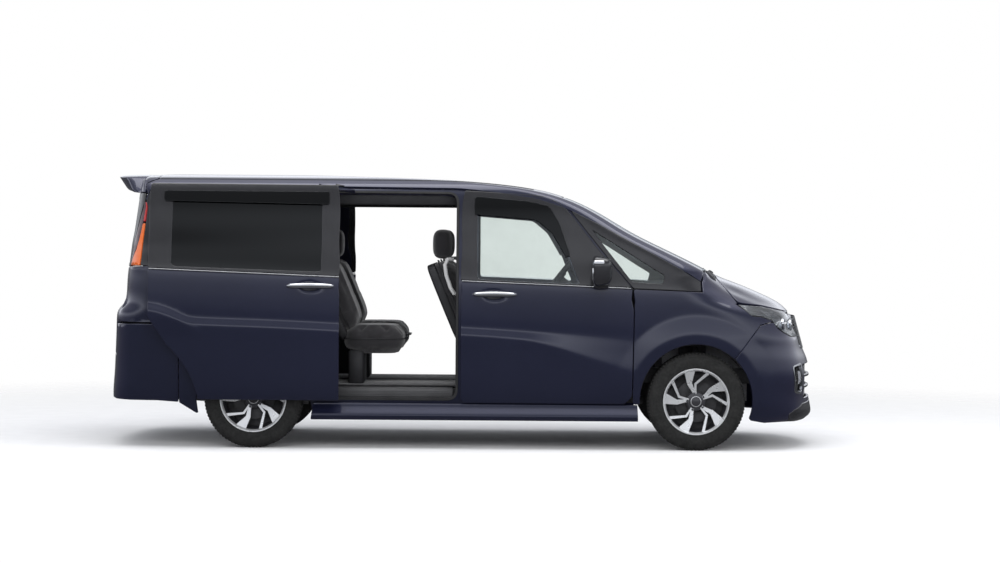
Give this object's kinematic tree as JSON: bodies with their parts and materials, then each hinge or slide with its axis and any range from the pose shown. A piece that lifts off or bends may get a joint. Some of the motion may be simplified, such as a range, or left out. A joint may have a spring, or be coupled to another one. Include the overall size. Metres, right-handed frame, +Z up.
{
  "type": "minivan",
  "caption": "Boxy family minivan with open sliding side doors, hinged front doors, bonnet and tailgate, three rows of seats, and steered front wheels.",
  "frame": {"origin": "on the ground, under the middle of the body's length", "axes": "+X towards the nose, +Y towards the vehicle's left side, +Z up"},
  "size_m": [4.735, 2.08, 1.8],
  "materials": {
    "body_paint": "deep violet-navy metallic under clear lacquer",
    "clear_glass": "clear with a faint green tint",
    "privacy_glass": "dark smoked",
    "lamp_lens": "clear moulded lens over chrome bowls",
    "tail_lens": "moulded red lens with an orange lower part",
    "black_plastic": "fine grained black",
    "chrome_trim": "polished",
    "cabin_plastic": "soft grained dark grey",
    "carpet": "looped dark grey",
    "seat_cloth": "woven dark grey cloth",
    "steel": "dark coated steel",
    "engine_alloy": "cast",
    "tyre_rubber": "matt black rubber",
    "wheel_alloy": "machined bright face with dark pockets"
  },
  "bodies": {
    "body": {"body_side_right": "body_paint", "body_side_left": "body_paint", "roof": "body_paint", "windscreen": "clear_glass", "front_quarter_glass": "clear_glass", "rear_quarter_glass": "privacy_glass", "rear_bumper": "body_paint", "tail_lamps": "tail_lens", "headlamps": "lamp_lens", "front_bumper": "body_paint", "grille": "black_plastic", "fenders": "body_paint", "floor_pan": "carpet", "firewall": "steel", "arch_liners": "black_plastic", "dashboard": "cabin_plastic", "steering_column": "cabin_plastic", "front_seats": "seat_cloth", "second_row_seats": "seat_cloth", "third_row_seat": "seat_cloth", "engine": "engine_alloy", "front_frame": "steel", "rear_axle": "steel", "fuel_tank": "black_plastic", "exhaust": "steel", "sliding_doors": "body_paint", "sliding_door_glass": "privacy_glass", "sliding_door_handles": "chrome_trim", "slide_rails": "steel"},
    "bonnet": {"bonnet": "body_paint"},
    "tailgate": {"tailgate": "body_paint", "tailgate_glass": "privacy_glass", "spoiler": "body_paint"},
    "front_door_right": {"front_door_right": "body_paint", "door_glass_right": "clear_glass", "mirror_right": "black_plastic", "door_handle_right": "chrome_trim"},
    "front_door_left": {"front_door_left": "body_paint", "door_glass_left": "clear_glass", "mirror_left": "black_plastic", "door_handle_left": "chrome_trim"},
    "steering_wheel": {"steering_wheel": "cabin_plastic"},
    "knuckle_right": {"knuckle_right": "steel"},
    "knuckle_left": {"knuckle_left": "steel"},
    "wheel_front_right": {"tyre_front_right": "tyre_rubber", "rim_front_right": "wheel_alloy"},
    "wheel_front_left": {"tyre_front_left": "tyre_rubber", "rim_front_left": "wheel_alloy"},
    "wheel_rear_right": {"tyre_rear_right": "tyre_rubber", "rim_rear_right": "wheel_alloy"},
    "wheel_rear_left": {"tyre_rear_left": "tyre_rubber", "rim_rear_left": "wheel_alloy"}
  },
  "joints": [
    {"name": "steer_right", "type": "hinge", "parent": "body", "child": "knuckle_right", "pos_m": [1.5275, -0.665, 0.215], "axis": [0, 0.1726, 0.985], "range_deg": [-35, 35]},
    {"name": "spin_front_right", "type": "hinge", "parent": "knuckle_right", "child": "wheel_front_right", "pos_m": [1.5275, -0.735, 0.32], "axis": [0, 1, 0], "continuous": true},
    {"name": "spin_rear_right", "type": "hinge", "parent": "body", "child": "wheel_rear_right", "pos_m": [-1.3625, -0.735, 0.32], "axis": [0, 1, 0], "continuous": true},
    {"name": "front_door_right_hinge", "type": "hinge", "parent": "body", "child": "front_door_right", "pos_m": [1.084, -0.824, 0.7], "axis": [0, 0, 1], "range_deg": [0, 65]},
    {"name": "steer_left", "type": "hinge", "parent": "body", "child": "knuckle_left", "pos_m": [1.5275, 0.665, 0.215], "axis": [0, -0.1726, 0.985], "range_deg": [-35, 35]},
    {"name": "spin_front_left", "type": "hinge", "parent": "knuckle_left", "child": "wheel_front_left", "pos_m": [1.5275, 0.735, 0.32], "axis": [0, 1, 0], "continuous": true},
    {"name": "spin_rear_left", "type": "hinge", "parent": "body", "child": "wheel_rear_left", "pos_m": [-1.3625, 0.735, 0.32], "axis": [0, 1, 0], "continuous": true},
    {"name": "front_door_left_hinge", "type": "hinge", "parent": "body", "child": "front_door_left", "pos_m": [1.084, 0.824, 0.7], "axis": [0, 0, -1], "range_deg": [0, 65]},
    {"name": "steering_wheel_turn", "type": "hinge", "parent": "body", "child": "steering_wheel", "pos_m": [0.63, -0.37, 1.112], "axis": [-0.788, 0, 0.6157], "range_deg": [-525, 525]},
    {"name": "tailgate_hinge", "type": "hinge", "parent": "body", "child": "tailgate", "pos_m": [-2.007, 0, 1.783], "axis": [0, 1, 0], "range_deg": [0, 80]},
    {"name": "bonnet_hinge", "type": "hinge", "parent": "body", "child": "bonnet", "pos_m": [1.664, 0, 1.151], "axis": [0, -1, 0], "range_deg": [0, 50]}
  ],
  "couplings": [
    {"joint": "steer_left", "follows": "steer_right", "ratio": 1},
    {"joint": "steering_wheel_turn", "follows": "steer_right", "ratio": 15}
  ]
}
